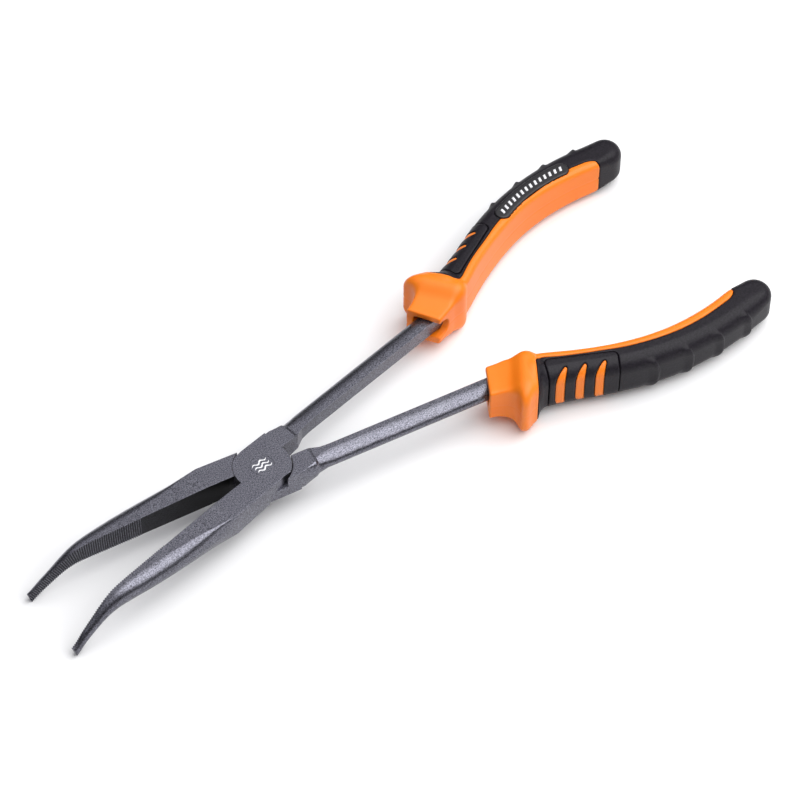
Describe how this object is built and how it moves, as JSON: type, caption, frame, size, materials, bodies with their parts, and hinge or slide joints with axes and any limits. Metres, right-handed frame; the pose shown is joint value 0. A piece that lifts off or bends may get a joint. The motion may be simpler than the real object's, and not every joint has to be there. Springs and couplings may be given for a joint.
{
  "type": "fishing pliers",
  "caption": "Long-reach fishing pliers: lap-jointed steel levers with slim bent-down serrated jaws, straight shanks and curved two-colour moulded grips with finger guards.",
  "frame": {"origin": "on the pivot axis, at the underside of the head", "axes": "+Z along the pivot axis towards the upper face of the head, -X towards the jaws, +X towards the ends of the handles, tips bent towards -Z"},
  "size_m": [0.2718, 0.1, 0.0268],
  "materials": {
    "coated_steel": "dark gunmetal non-stick coat over forged steel, finely speckled, satin",
    "orange_plastic": "semi-gloss moulded polypropylene",
    "black_rubber": "soft-touch thermoplastic rubber, fine matt grain",
    "black_plastic": "smooth matt black plastic"
  },
  "bodies": {
    "left_lever": {"lever_left": "coated_steel", "grip_core_left": "orange_plastic", "soft_grip_left": "black_rubber", "claw_pad_left": "black_rubber", "badge_plate_left": "black_plastic"},
    "right_lever": {"lever_right": "coated_steel", "pivot_rivet": "coated_steel", "grip_core_right": "orange_plastic", "soft_grip_right": "black_rubber", "claw_pad_right": "black_rubber", "badge_plate_right": "black_plastic"}
  },
  "joints": [
    {"name": "pivot", "type": "hinge", "parent": "left_lever", "child": "right_lever", "pos_m": [0, 0, 0.0044], "axis": [0, 0, 1], "range_deg": [-16.8, 28]}
  ]
}
